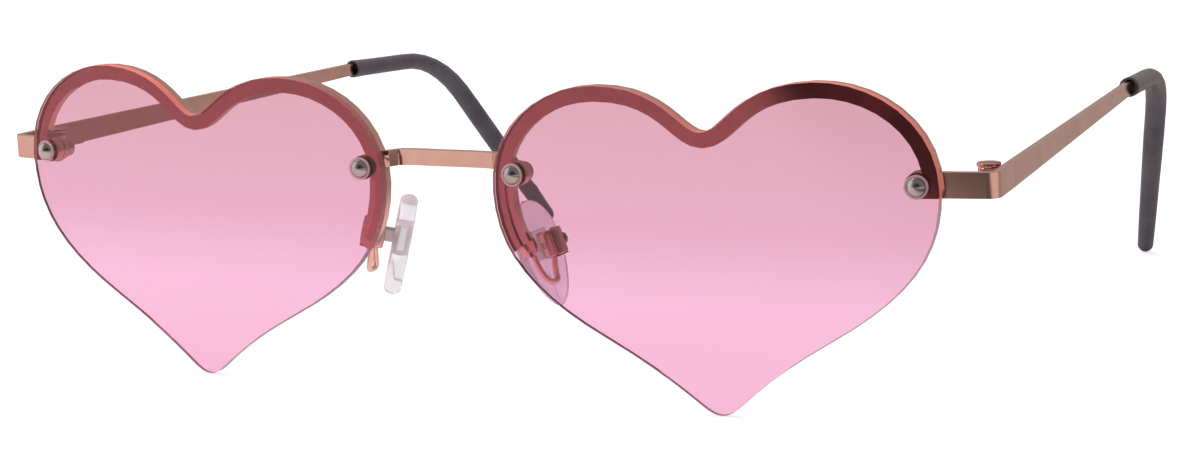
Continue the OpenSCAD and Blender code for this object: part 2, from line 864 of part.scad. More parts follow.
// Pad box: a round-backed clevis that holds the stud's tongue
module pad_box_blank(grow) {
    r = box_w / 2 + grow;
    translate([0, 0, -box_h / 2 - grow])
        linear_extrude(height = box_h + 2 * grow)
            union() {
                circle(r = r, $fn = round_fn);
                translate([-r, -r])
                    square([r, 2 * r]);
            }
}

module pad_box() {
    slot_w = tongue_t + 2 * fit_gap;
    slot_end = tongue_h / 2 + tongue_gap;
    color(rose_gold)
        pad_frame()
            difference() {
                pad_box_blank(0);
                translate([-box_w, -slot_w / 2, -box_h])
                    cube([box_w + slot_end, slot_w, 2 * box_h]);
                round_y(pad_screw_d + 2 * fit_gap, -box_w, box_w);
            }
}

module pad_screw() {
    color(silver)
        pad_frame() {
            round_y(pad_screw_d, -box_w / 2, box_w / 2);
            round_y(pad_screw_head_d, box_w / 2, box_w / 2 + pad_screw_head_t);
        }
}

// Stud: a tongue in the box and a plate moulded into the pad
module pad_stud() {
    plate_x = -pad_off - pad_t / 2 - stud_plate_t / 2;
    color(silver)
        pad_frame()
            difference() {
                union() {
                    round_y(tongue_h, -tongue_t / 2, tongue_t / 2);
                    translate([plate_x, -tongue_t / 2, -tongue_h / 2])
                        cube([-plate_x, tongue_t, tongue_h]);
                    translate([plate_x, -stud_plate_w / 2, -stud_plate_l / 2])
                        cube([stud_plate_t, stud_plate_w, stud_plate_l]);
                }
                round_y(pad_screw_d + 2 * fit_gap, -box_w, box_w);
            }
}

// Nose pads: a soft-edged drop, its flatter face to the nose
pad_sides = 28;
pad_narrowing = 0.22;
// Places across the thickness and how far the edge draws in there, as shares
pad_edge_share = [[0, 0.30], [0.12, 0.12], [0.35, 0], [0.65, 0], [0.88, 0.12], [1, 0.30]];

function pad_ring(x, draw) = [
    for (j = [0:pad_sides - 1])
        let (
            t = 360 * j / pad_sides,
            z = (pad_l / 2 - draw) * cos(t),
            y = (pad_w / 2 - draw) * sin(t) * (1 + pad_narrowing * cos(t))
        )
        [x, y, z - pad_low]
];

module nose_pad() {
    plate_x = -pad_off - pad_t / 2 - stud_plate_t / 2;
    color(clear_plastic)
        pad_frame()
            difference() {
                skin([for (s = pad_edge_share) pad_ring(-pad_off - pad_t + s[0] * pad_t, s[1] * pad_t)]);
                translate([
                    plate_x - fit_gap,
                    -stud_plate_w / 2 - fit_gap,
                    -stud_plate_l / 2 - fit_gap
                ])
                    cube([
                        stud_plate_t + 2 * fit_gap,
                        stud_plate_w + 2 * fit_gap,
                        stud_plate_l + 2 * fit_gap
                    ]);
                translate([plate_x, -tongue_t / 2 - fit_gap, -tongue_h / 2 - fit_gap])
                    cube([pad_t + overrun, tongue_t + 2 * fit_gap, tongue_h + 2 * fit_gap]);
            }
}

// Named nodes
module left_lens() standing_frame(left) lens();
module right_lens() standing_frame(right) lens();
module left_rim() standing_frame(left) rim();
module right_rim() standing_frame(right) rim();
module left_end_piece() standing_frame(left) end_piece();
module right_end_piece() standing_frame(right) end_piece();
module left_outer_lens_screw() standing_frame(left) lens_screw(outer);
module left_inner_lens_screw() standing_frame(left) lens_screw(inner);
module right_outer_lens_screw() standing_frame(right) lens_screw(outer);
module right_inner_lens_screw() standing_frame(right) lens_screw(inner);
module left_outer_lens_bushing() standing_frame(left) lens_bushing(outer);
module left_inner_lens_bushing() standing_frame(left) lens_bushing(inner);
module right_outer_lens_bushing() standing_frame(right) lens_bushing(outer);
module right_inner_lens_bushing() standing_frame(right) lens_bushing(inner);
module left_outer_lens_nut() standing_frame(left) lens_nut(outer);
module left_inner_lens_nut() standing_frame(left) lens_nut(inner);
module right_outer_lens_nut() standing_frame(right) lens_nut(outer);
module right_inner_lens_nut() standing_frame(right) lens_nut(inner);
module left_front_hinge_leaf() standing_frame(left) hinge_leaf([0, 2], -1);
module right_front_hinge_leaf() standing_frame(right) hinge_leaf([0, 2], -1);
module left_hinge_screw() standing_frame(left) hinge_screw();
module right_hinge_screw() standing_frame(right) hinge_screw();
module left_pad_arm() standing_frame(left) pad_arm();
module right_pad_arm() standing_frame(right) pad_arm();
module left_pad_box() standing_frame(left) pad_box();
module right_pad_box() standing_frame(right) pad_box();
module left_pad_screw() standing_frame(left) pad_screw();
module right_pad_screw() standing_frame(right) pad_screw();
module left_temple_hinge_leaf() standing_frame(left) hinge_leaf([1], 1);
module right_temple_hinge_leaf() standing_frame(right) hinge_leaf([1], 1);
module left_temple_arm() standing_frame(left) temple_arm();
module right_temple_arm() standing_frame(right) temple_arm();
module left_temple_tip() standing_frame(left) temple_tip();
module right_temple_tip() standing_frame(right) temple_tip();
module left_pad_stud() standing_frame(left) pad_stud();
module right_pad_stud() standing_frame(right) pad_stud();
module left_nose_pad() standing_frame(left) nose_pad();
module right_nose_pad() standing_frame(right) nose_pad();

// Places for the assembly notes, in the standing frame: hinge and pad axes, and
// the middle of a temple's outer face with its normal
face_at = in_temple([strip_out, tip_start / 2, 0]);
echo(hinge_at = standing(in_temple([0, 0, 0]), left), hinge_axis = leaned([0, 0, 1], rest_lean));
echo(
    pad_at = standing(pivot, left),
    pad_axis = leaned(
        [cos(pad_rake) * sin(pad_splay), cos(pad_rake) * cos(pad_splay), sin(pad_rake)],
        rest_lean
    )
);
echo(
    face_at = standing(face_at, left),
    face_axis = leaned([cos(temple_toe), sin(temple_toe), 0], rest_lean)
);
echo(rest_lean = rest_lean, middle_depth = middle_depth, rest_lift = rest_lift);

left_lens();
right_lens();
left_rim();
right_rim();
bridge();
left_end_piece();
right_end_piece();
left_outer_lens_screw();
left_inner_lens_screw();
right_outer_lens_screw();
right_inner_lens_screw();
left_outer_lens_bushing();
left_inner_lens_bushing();
right_outer_lens_bushing();
right_inner_lens_bushing();
left_outer_lens_nut();
left_inner_lens_nut();
right_outer_lens_nut();
right_inner_lens_nut();
left_front_hinge_leaf();
right_front_hinge_leaf();
left_hinge_screw();
right_hinge_screw();
left_pad_arm();
right_pad_arm();
left_pad_box();
right_pad_box();
left_pad_screw();
right_pad_screw();
left_temple_hinge_leaf();
right_temple_hinge_leaf();
left_temple_arm();
right_temple_arm();
left_temple_tip();
right_temple_tip();
left_pad_stud();
right_pad_stud();
left_nose_pad();
right_nose_pad();
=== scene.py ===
"""Heart shaped sunglasses: the finishes, the small trim, the camera and the light."""

import logging
import math
from collections.abc import Callable
from dataclasses import dataclass, field
from enum import Enum

import bpy
from mathutils import Matrix, Vector


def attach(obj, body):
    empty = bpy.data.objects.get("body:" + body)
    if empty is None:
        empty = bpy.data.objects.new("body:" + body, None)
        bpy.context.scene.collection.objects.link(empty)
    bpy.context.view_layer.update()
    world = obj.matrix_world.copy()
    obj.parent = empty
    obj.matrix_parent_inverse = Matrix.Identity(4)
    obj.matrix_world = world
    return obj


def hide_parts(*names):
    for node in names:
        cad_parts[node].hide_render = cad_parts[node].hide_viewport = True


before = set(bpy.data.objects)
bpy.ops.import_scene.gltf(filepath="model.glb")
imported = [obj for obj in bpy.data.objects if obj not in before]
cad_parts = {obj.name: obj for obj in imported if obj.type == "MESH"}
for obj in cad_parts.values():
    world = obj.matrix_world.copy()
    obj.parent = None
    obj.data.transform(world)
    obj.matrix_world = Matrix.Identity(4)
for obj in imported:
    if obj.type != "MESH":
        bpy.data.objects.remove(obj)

log = logging.getLogger("sunglasses")
Colour = tuple[float, float, float]
Triple = tuple[float, float, float]
WHITE: Colour = (1.0, 1.0, 1.0)

# Lengths are in metres and angles in degrees
WELD = 0.000002
DOUBLED = 0.000001
SHARP_ANGLE = 50.0
SMOOTH_ANGLE = 32.0
ROUND_ANGLE = 50.0


class Side(Enum):
    """A side of the glasses, as the wearer has it."""

    LEFT = "left"
    RIGHT = "right"


class Body(Enum):
    """What a piece moves with."""

    FRONT = "front"
    TEMPLE = "temple"
    NOSE_PAD = "nose_pad_body"

    def on(self, side: Side) -> str:
        """Name of this body on one side."""
        return self.value if self is Body.FRONT else f"{side.value}_{self.value}"


def place(tree: bpy.types.NodeTree, kind: str, inputs: dict[str, object] | None = None,
          **settings: object) -> bpy.types.Node:
    """Adds one shader node.

    Args:
        tree: the material's, group's or world's nodes.
        kind: the node's type.
        inputs: values for its sockets, by the sockets' names.
        settings: values for its own settings.

    Returns:
        The new node.
    """
    node = tree.nodes.new(kind)
    for name, value in settings.items():
        setattr(node, name, value)
    for name, value in (inputs or {}).items():
        node.inputs[name].default_value = value
    return node


def opaque(colour: Colour) -> tuple[float, float, float, float]:
    """The colour with an alpha of 1."""
    return (*colour, 1.0)


def surface_wear() -> bpy.types.NodeTree:
    """Node group for the uneven polish of a handled surface.

    Returns:
        A group that puts out a roughness between two values and a fine height.
    """
    name = "surface_wear"
    if name in bpy.data.node_groups:
        return bpy.data.node_groups[name]
    group = bpy.data.node_groups.new(name, "ShaderNodeTree")
    face = group.interface
    for label in ("Patch Scale", "Grain Scale", "Low", "High"):
        face.new_socket(label, in_out="INPUT", socket_type="NodeSocketFloat")
    for label in ("Roughness", "Height", "Mask"):
        face.new_socket(label, in_out="OUTPUT", socket_type="NodeSocketFloat")
    start = place(group, "NodeGroupInput")
    end = place(group, "NodeGroupOutput")
    where = place(group, "ShaderNodeTexCoord")
    patches = place(group, "ShaderNodeTexNoise", {"Detail": 3.0, "Roughness": 0.55})
    grain = place(group, "ShaderNodeTexNoise", {"Detail": 2.0, "Roughness": 0.6})
    spread = place(group, "ShaderNodeMapRange", {"From Min": 0.35, "From Max": 0.65})
    mask = place(group, "ShaderNodeMapRange", {"From Min": 0.35, "From Max": 0.65})
    link = group.links.new
    for noise, scale in ((patches, "Patch Scale"), (grain, "Grain Scale")):
        link(where.outputs["Object"], noise.inputs["Vector"])
        link(start.outputs[scale], noise.inputs["Scale"])
    for node in (spread, mask):
        link(patches.outputs["Fac"], node.inputs["Value"])
    link(start.outputs["Low"], spread.inputs["To Min"])
    link(start.outputs["High"], spread.inputs["To Max"])
    link(spread.outputs["Result"], end.inputs["Roughness"])
    link(grain.outputs["Fac"], end.inputs["Height"])
    link(mask.outputs["Result"], end.inputs["Mask"])
    return group


def new_material(name: str) -> tuple[bpy.types.Material, bpy.types.Node]:
    """Makes a material with one Principled shader.

    Args:
        name: the material's name.

    Returns:
        The material and its shader.
    """
    material = bpy.data.materials.new(name)
    material.use_nodes = True
    return material, material.node_tree.nodes["Principled BSDF"]


def wear_on(material: bpy.types.Material, shader: bpy.types.Node, inputs: dict[str, object],
            depth: float) -> bpy.types.Node:
    """Gives a material uneven roughness and a fine grain.

    Args:
        material: the material.
        shader: its Principled shader.
        inputs: the wear group's values.
        depth: the grain's depth in metres.

    Returns:
        The placed group.
    """
    tree = material.node_tree
    wear = place(tree, "ShaderNodeGroup", node_tree=surface_wear())
    for name, value in inputs.items():
        wear.inputs[name].default_value = value
    bump = place(tree, "ShaderNodeBump", {"Strength": 1.0, "Distance": depth})
    tree.links.new(wear.outputs["Roughness"], shader.inputs["Roughness"])
    tree.links.new(wear.outputs["Height"], bump.inputs["Height"])
    tree.links.new(bump.outputs["Normal"], shader.inputs["Normal"])
    return wear


@dataclass(frozen=True)
class PlatedMetal:
    """Polished plated metal."""

    name: str
    colour: Colour
    worn: Colour
    low: float = 0.06
    high: float = 0.13
    patch: float = 260.0
    grain: float = 9000.0
    depth: float = 0.0000006

    def material(self) -> bpy.types.Material:
        """Builds the material, once."""
        if self.name in bpy.data.materials:
            return bpy.data.materials[self.name]
        material, shader = new_material(self.name)
        shader.inputs["Metallic"].default_value = 1.0
        tree = material.node_tree
        wear = wear_on(material, shader, {"Patch Scale": self.patch, "Grain Scale": self.grain,
                                          "Low": self.low, "High": self.high}, self.depth)
        shade = place(tree, "ShaderNodeMix", data_type="RGBA")
        shade.inputs[6].default_value = opaque(self.colour)
        shade.inputs[7].default_value = opaque(self.worn)
        tree.links.new(wear.outputs["Mask"], shade.inputs["Factor"])
        tree.links.new(shade.outputs[2], shader.inputs["Base Color"])
        return material


@dataclass(frozen=True)
class TintedPlastic:
    """Clear plastic with a tint that changes with height."""

    name: str
    stops: tuple[tuple[float, Colour], ...]
    bottom: float = 0.0
    top: float = 0.0427
    low: float = 0.0
    high: float = 0.03
    patch: float = 90.0
    grain: float = 4000.0
    refraction: float = 1.5

    def material(self) -> bpy.types.Material:
        """Builds the material, once."""
        if self.name in bpy.data.materials:
            return bpy.data.materials[self.name]
        material, shader = new_material(self.name)
        shader.inputs["Transmission Weight"].default_value = 1.0
        shader.inputs["IOR"].default_value = self.refraction
        tree = material.node_tree
        where = place(tree, "ShaderNodeTexCoord")
        split = place(tree, "ShaderNodeSeparateXYZ")
        height = place(tree, "ShaderNodeMapRange", {"From Min": self.bottom, "From Max": self.top})
        ramp = place(tree, "ShaderNodeValToRGB")
        for i, (at, colour) in enumerate(self.stops):
            stop = ramp.color_ramp.elements[i] if i < 2 else ramp.color_ramp.elements.new(at)
            stop.position = at
            stop.color = opaque(colour)
        link = tree.links.new
        link(where.outputs["Object"], split.inputs["Vector"])
        link(split.outputs["Z"], height.inputs["Value"])
        link(height.outputs["Result"], ramp.inputs["Fac"])
        link(ramp.outputs["Color"], shader.inputs["Base Color"])
        wear = place(tree, "ShaderNodeGroup", node_tree=surface_wear())
        for name, value in {"Patch Scale": self.patch, "Grain Scale": self.grain,
                            "Low": self.low, "High": self.high}.items():
            wear.inputs[name].default_value = value
        link(wear.outputs["Roughness"], shader.inputs["Roughness"])
        light_through(material, shader, self.stops[0][1])
        return material


@dataclass(frozen=True)
class LensWall:
    """The lens's narrow wall, where light that runs inside the plastic comes out. Its colour is
    painted darker at the nose and lighter towards the temple: painted shade and light.
    """

    name: str
    # nose and temple are the wall's tones at the nose and at the temple; the step between them is
    # painted shade and light
    nose: Colour
    temple: Colour
    inside: Colour | None = None
    near: float = 0.018
    far: float = 0.045
    low: float = 0.18
    high: float = 0.30
    patch: float = 300.0
    grain: float = 5000.0
    depth: float = 0.000001

    def material(self) -> bpy.types.Material:
        """Builds the material, once."""
        if self.name in bpy.data.materials:
            return bpy.data.materials[self.name]
        material, shader = new_material(self.name)
        tree = material.node_tree
        wear_on(material, shader, {"Patch Scale": self.patch, "Grain Scale": self.grain,
                                   "Low": self.low, "High": self.high}, self.depth)
        where = place(tree, "ShaderNodeTexCoord")
        split = place(tree, "ShaderNodeSeparateXYZ")
        side = place(tree, "ShaderNodeMath", operation="ABSOLUTE")
        # The colour runs from the nose tone to the temple tone with distance from the middle:
        # painted shade at the nose, painted light towards the temple
        nose_to_temple_shade = place(tree, "ShaderNodeMapRange", {"From Min": self.near, "From Max": self.far})
        shade = place(tree, "ShaderNodeMix", data_type="RGBA")
        shade.inputs[6].default_value = opaque(self.nose)
        shade.inputs[7].default_value = opaque(self.temple)
        link = tree.links.new
        link(where.outputs["Object"], split.inputs["Vector"])
        link(split.outputs["X"], side.inputs[0])
        link(side.outputs[0], nose_to_temple_shade.inputs["Value"])
        link(nose_to_temple_shade.outputs["Result"], shade.inputs["Factor"])
        link(shade.outputs[2], shader.inputs["Base Color"])
        if self.inside:
            within = place(tree, "ShaderNodeNewGeometry")
            frosted = place(tree, "ShaderNodeBsdfTranslucent", {"Color": opaque(self.inside)})
            sides = place(tree, "ShaderNodeMixShader")
            link(within.outputs["Backfacing"], sides.inputs[0])
            link(shader.outputs["BSDF"], sides.inputs[1])
            link(frosted.outputs["BSDF"], sides.inputs[2])
            link(sides.outputs["Shader"], tree.nodes["Material Output"].inputs["Surface"])
        return material


@dataclass(frozen=True)
class ClearPlastic:
    """Colourless moulded plastic or silicone."""

    name: str
    colour: Colour
    low: float = 0.02
    high: float = 0.08
    refraction: float = 1.42
    clear: float = 1.0
    patch: float = 420.0
    grain: float = 6000.0
    depth: float = 0.000001

    def material(self) -> bpy.types.Material:
        """Builds the material, once."""
        if self.name in bpy.data.materials:
            return bpy.data.materials[self.name]
        material, shader = new_material(self.name)
        shader.inputs["Base Color"].default_value = opaque(self.colour)
        shader.inputs["Transmission Weight"].default_value = self.clear
        shader.inputs["IOR"].default_value = self.refraction
        wear_on(material, shader, {"Patch Scale": self.patch, "Grain Scale": self.grain,
                                   "Low": self.low, "High": self.high}, self.depth)
        light_through(material, shader, self.colour)
        return material


@dataclass(frozen=True)
class SatinPlastic:
    """Opaque moulded plastic with a soft sheen."""

    name: str
    colour: Colour
    worn: Colour
    low: float = 0.24
    high: float = 0.36
    patch: float = 180.0
    grain: float = 7000.0
    depth: float = 0.000004
    refraction: float = 1.5

    def material(self) -> bpy.types.Material:
        """Builds the material, once."""
        if self.name in bpy.data.materials:
            return bpy.data.materials[self.name]
        material, shader = new_material(self.name)
        shader.inputs["IOR"].default_value = self.refraction
        tree = material.node_tree
        wear = wear_on(material, shader, {"Patch Scale": self.patch, "Grain Scale": self.grain,
                                          "Low": self.low, "High": self.high}, self.depth)
        shade = place(tree, "ShaderNodeMix", data_type="RGBA")
        shade.inputs[6].default_value = opaque(self.colour)
        shade.inputs[7].default_value = opaque(self.worn)
        tree.links.new(wear.outputs["Mask"], shade.inputs["Factor"])
        tree.links.new(shade.outputs[2], shader.inputs["Base Color"])
        return material


def light_through(material: bpy.types.Material, shader: bpy.types.Node, colour: Colour) -> None:
    """Lets lamp light pass a clear piece in its own colour, so its shadow is tinted.

    Args:
        material: the clear material.
        shader: its Principled shader.
        colour: what the light takes on.
    """
    tree = material.node_tree
    end = tree.nodes["Material Output"]
    path = place(tree, "ShaderNodeLightPath")
    passing = place(tree, "ShaderNodeBsdfTransparent", {"Color": opaque(colour)})
    mix = place(tree, "ShaderNodeMixShader")
    tree.links.new(path.outputs["Is Shadow Ray"], mix.inputs[0])
    tree.links.new(shader.outputs["BSDF"], mix.inputs[1])
    tree.links.new(passing.outputs["BSDF"], mix.inputs[2])
    tree.links.new(mix.outputs["Shader"], end.inputs["Surface"])


ROSE_GOLD = PlatedMetal("rose_gold_plating", (0.80, 0.55, 0.47), (0.74, 0.49, 0.42))
# A lighter copy of the rose gold for the pad arms: painted light, so the thin wire shows bright
# coral
PAINTED_BRIGHT_GOLD = PlatedMetal("rose_gold_wire", (0.99, 0.72, 0.62), (0.94, 0.66, 0.57), 0.08, 0.16)
SILVER = PlatedMetal("silver_plating", (0.60, 0.57, 0.58), (0.50, 0.48, 0.49), 0.18, 0.28)
PINK_LENS = TintedPlastic("pink_lens_tint", (
    (0.0, (0.83, 0.45, 0.605)), (0.33, (0.83, 0.45, 0.63)),
    (0.56, (0.70, 0.362, 0.485)), (1.0, (0.62, 0.33, 0.40))))
# The wall before the rim is reddish brown at the nose and coral towards the temple: a painted
# reflection of the rose gold rim behind it, with painted shade at the nose
BACKED_WALL = LensWall("lens_wall_before_rim", (0.30, 0.09, 0.09), (0.70, 0.17, 0.14),
                       (0.22, 0.09, 0.09))
# Below the rim the free wall has the same painted shade, darker at the nose
CLEAR_WALL = LensWall("lens_wall_below_rim", (0.30, 0.16, 0.24), (0.46, 0.28, 0.37))
# The free wall's faces that look back are darker still: a painted dark line of shade along the
# back edge
BACK_EDGE_SHADE = LensWall("lens_wall_back_edge", (0.20, 0.09, 0.13), (0.26, 0.12, 0.19))
CLEAR_BUSHING = ClearPlastic("clear_bushing_plastic", (0.80, 0.58, 0.60), 0.10, 0.18, clear=0.6)
CLEAR_PAD = ClearPlastic("clear_pad_silicone", (0.90, 0.885, 0.915), 0.10, 0.20, clear=0.78)
CLEAR_INSERT = ClearPlastic("clear_insert_plastic", (0.95, 0.94, 0.96), 0.02, 0.06,
                            refraction=1.5)
CHARCOAL = SatinPlastic("charcoal_sleeve_plastic", (0.054, 0.048, 0.062), (0.080, 0.071, 0.088))


def finished_copy(node: str, body: str, finish: bpy.types.Material, edge: float,
                  smooth: float = SMOOTH_ANGLE, rounds: int = 2, flat: float = 0.5,
                  share: Callable[[Vector, Vector], float] | None = None,
                  clamped: bool = True) -> bpy.types.Object:
    """Models the shown form of a hard piece: its solid with welded faces and broken edges.

    Args:
        node: name of the solid.
        body: what it moves with.
        finish: its material.
        edge: width of the broken edges in metres, or zero for none.
        smooth: angle in degrees under which faces shade as one.
        rounds: segments of a broken edge.
        flat: angle in degrees under which loose triangles join into one face.
        share: gives the share of the width that the edge between two corners takes.
        clamped: whether short edges hold the width of the broken edges back.

    Returns:
        The new piece, riding on the body and standing for the solid.
    """
    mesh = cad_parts[node].data.copy()
    piece = bpy.data.objects.new(f"{node}_finished", mesh)
    bpy.context.scene.collection.objects.link(piece)
    bpy.ops.object.select_all(action="DESELECT")
    piece.select_set(True)
    bpy.context.view_layer.objects.active = piece
    mesh.materials.clear()
    mesh.materials.append(finish)
    bpy.ops.object.mode_set(mode="EDIT")
    bpy.ops.mesh.select_all(action="SELECT")
    bpy.ops.mesh.customdata_custom_splitnormals_clear()
    bpy.ops.mesh.remove_doubles(threshold=WELD)
    if edge:
        bpy.ops.mesh.dissolve_limited(angle_limit=math.radians(flat))
    if share:
        bpy.ops.mesh.select_mode(type="EDGE")
        bpy.ops.mesh.select_all(action="DESELECT")
        bpy.ops.mesh.edges_select_sharp(sharpness=math.radians(SHARP_ANGLE))
    bpy.ops.object.mode_set(mode="OBJECT")
    if share:
        weights = mesh.attributes.new("bevel_weight_edge", "FLOAT", "EDGE")
        for line in mesh.edges:
            if line.select:
                start, end = (mesh.vertices[i].co for i in line.vertices)
                weights.data[line.index].value = share(start, end)
    if edge:
        bevel = piece.modifiers.new("broken_edges", "BEVEL")
        bevel.width = edge
        bevel.segments = rounds
        bevel.limit_method = "WEIGHT" if share else "ANGLE"
        bevel.angle_limit = math.radians(SHARP_ANGLE)
        bevel.use_clamp_overlap = clamped
        bpy.ops.object.modifier_apply(modifier=bevel.name)
        bpy.ops.object.mode_set(mode="EDIT")
        bpy.ops.mesh.select_all(action="SELECT")
        bpy.ops.mesh.remove_doubles(threshold=DOUBLED)
        bpy.ops.object.mode_set(mode="OBJECT")
    bpy.ops.object.shade_smooth_by_angle(angle=math.radians(smooth))
    if edge:
        level = piece.modifiers.new("level_faces", "WEIGHTED_NORMAL")
        level.weight = 100
        level.keep_sharp = True
        bpy.ops.object.modifier_apply(modifier=level.name)
    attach(piece, body)
    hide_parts(node)
    return piece


@dataclass
class Lenses:
    """Two tinted hearts, with the walls that the rims back and the walls left free.

    Sizes are in metres on the wearer's left, and the right lens takes the same.
    """

    chamfer: float = 0.00015
    backed_chamfer: float = 0.00003
    smooth: float = 24.0
    flat: float = 0.05
    wall: float = 0.9
    back: float = 0.5
    middle: float = 0.03815
    nose_end: float = 0.0188
    temple_end: float = 0.0282
    tip_low: float = 0.0045
    tip_high: float = 0.0075
    hole_reach: float = 0.0018
    outer_hole: Vector = field(default_factory=lambda: Vector((0.0648, 0.0301)))
    inner_hole: Vector = field(default_factory=lambda: Vector((0.0114, 0.0299)))

    def is_backed(self, place_on_wall: Vector) -> bool:
        """Whether a place on the wall lies before the rim."""
        end = self.temple_end if abs(place_on_wall.x) > self.middle else self.nose_end
        return place_on_wall.z > end

    def in_hole(self, place_on_wall: Vector) -> bool:
        """Whether a place lies in one of the screw holes."""
        flat = Vector((abs(place_on_wall.x), place_on_wall.z))
        return any((flat - hole).length < self.hole_reach
                   for hole in (self.outer_hole, self.inner_hole))

    def chamfer_share(self, start: Vector, end: Vector) -> float:
        """The chamfer is nearly nothing before the rim and round the lowest tip."""
        middle = (start + end) / 2
        least = self.backed_chamfer / self.chamfer
        if self.is_backed(middle):
            return least
        return min(max((middle.z - self.tip_low) / (self.tip_high - self.tip_low), least), 1.0)

    def build(self) -> list[bpy.types.Object]:
        """Models both lenses and finishes their walls."""
        pieces = []
        for side in Side:
            piece = finished_copy(f"{side.value}_lens", Body.FRONT.on(side), PINK_LENS.material(),
                                  self.chamfer, self.smooth, 1, self.flat,
                                  self.chamfer_share, clamped=False)
            for finish in (BACKED_WALL, CLEAR_WALL, BACK_EDGE_SHADE):
                piece.data.materials.append(finish.material())
            for face in piece.data.polygons:
                if abs(face.normal.y) > self.wall or self.in_hole(face.center):
                    continue
                # Faces before the rim take the wall with the painted rim reflection
                if self.is_backed(face.center):
                    face.material_index = 1
                else:
                    # Free faces that look back take the darker wall, painted shade along the back
                    # edge
                    face.material_index = 3 if face.normal.y > self.back else 2
            pieces.append(piece)
        return pieces


@dataclass
class Front:
    """Half rims, bridge, end pieces and front hinge leaves."""

    edge: float = 0.00012
    rim_edge: float = 0.0001

    def build(self) -> list[bpy.types.Object]:
        """Models the soldered metal of the front."""
        gold = ROSE_GOLD.material()
        pieces = [finished_copy("bridge", Body.FRONT.value, gold, self.edge)]
        for side in Side:
            on = Body.FRONT.on(side)
            pieces.append(finished_copy(f"{side.value}_rim", on, gold, self.rim_edge))
            pieces.append(finished_copy(f"{side.value}_end_piece", on, gold, self.edge))
            pieces.append(finished_copy(f"{side.value}_front_hinge_leaf", on, gold, self.rim_edge))
            pieces.append(finished_copy(f"{side.value}_hinge_screw", on, gold, self.rim_edge))
        return pieces


@dataclass
class LensFixings:
    """Domed screws, clear bushings and round nuts."""

    edge: float = 0.00006

    def build(self) -> list[bpy.types.Object]:
        """Models the fixings of both lenses."""
        pieces = []
        for side in Side:
            on = Body.FRONT.on(side)
            for at in ("outer", "inner"):
                start = f"{side.value}_{at}_lens"
                pieces.append(finished_copy(f"{start}_screw", on, SILVER.material(), 0.0))
                pieces.append(finished_copy(f"{start}_nut", on, SILVER.material(), self.edge))
                pieces.append(finished_copy(f"{start}_bushing", on, CLEAR_BUSHING.material(), 0.0))
        return pieces


@dataclass
class Temples:
    """Temple strips, their hinge leaves and the sleeved tips."""

    edge: float = 0.00012
    tip_smooth: float = 45.0

    def build(self) -> list[bpy.types.Object]:
        """Models both temples."""
        pieces = []
        for side in Side:
            on = Body.TEMPLE.on(side)
            gold = ROSE_GOLD.material()
            pieces.append(finished_copy(f"{side.value}_temple_arm", on, gold, self.edge))
            pieces.append(finished_copy(f"{side.value}_temple_hinge_leaf", on, gold, self.edge))
            pieces.append(finished_copy(f"{side.value}_temple_tip", on, CHARCOAL.material(), 0.0,
                                        self.tip_smooth))
        return pieces


@dataclass
class NosePads:
    """Wire arms, boxes, screws, studs and clear pads."""

    edge: float = 0.00008
    box_edge: float = 0.0009
    box_rounds: int = 5
    plate_from: float = 0.62
    screw_reach: float = 0.0009
    pivot: Vector = field(default_factory=lambda: Vector((0.0137188, -0.0614929, 0.0203916)))
    screw_way: Vector = field(default_factory=lambda: Vector((0.460047, 0.857549, 0.230144)))

    def box_share(self, start: Vector, end: Vector) -> float:
        """All the box's edges are rounded but those of the screw hole."""
        middle = (start + end) / 2
        away = Vector((abs(middle.x), middle.y, middle.z)) - self.pivot
        return 1.0 if away.cross(self.screw_way).length > self.screw_reach else 0.0

    def clear_insert(self, stud: bpy.types.Object) -> None:
        """Makes the stud's plate clear, which is moulded into the pad.

        Args:
            stud: the shown stud.
        """
        stud.data.materials.append(CLEAR_INSERT.material())
        corners = [Vector(corner) for corner in stud.bound_box]
        side = math.copysign(1.0, corners[0].x)
        pivot = Vector((side * self.pivot.x, self.pivot.y, self.pivot.z))
        far = max((face.center - pivot).xy.length for face in stud.data.polygons)
        for face in stud.data.polygons:
            if (face.center - pivot).xy.length > self.plate_from * far:
                face.material_index = 1

    def build(self) -> list[bpy.types.Object]:
        """Models both nose pads and what holds them."""
        pieces = []
        for side in Side:
            front = Body.FRONT.on(side)
            rocking = Body.NOSE_PAD.on(side)
            gold, silver = ROSE_GOLD.material(), SILVER.material()
            # The pad arm takes the lighter copy of the rose gold, painted light
            pieces.append(finished_copy(f"{side.value}_pad_arm", front,
                                        PAINTED_BRIGHT_GOLD.material(), 0.0, ROUND_ANGLE))
            pieces.append(finished_copy(f"{side.value}_pad_box", front, gold, self.box_edge,
                                        ROUND_ANGLE, self.box_rounds, share=self.box_share))
            pieces.append(finished_copy(f"{side.value}_pad_screw", front, silver, self.edge))
            stud = finished_copy(f"{side.value}_pad_stud", rocking, silver, self.edge)
            self.clear_insert(stud)
            pieces.append(stud)
            pieces.append(finished_copy(f"{side.value}_nose_pad", rocking, CLEAR_PAD.material(),
                                        0.0, ROUND_ANGLE))
        return pieces


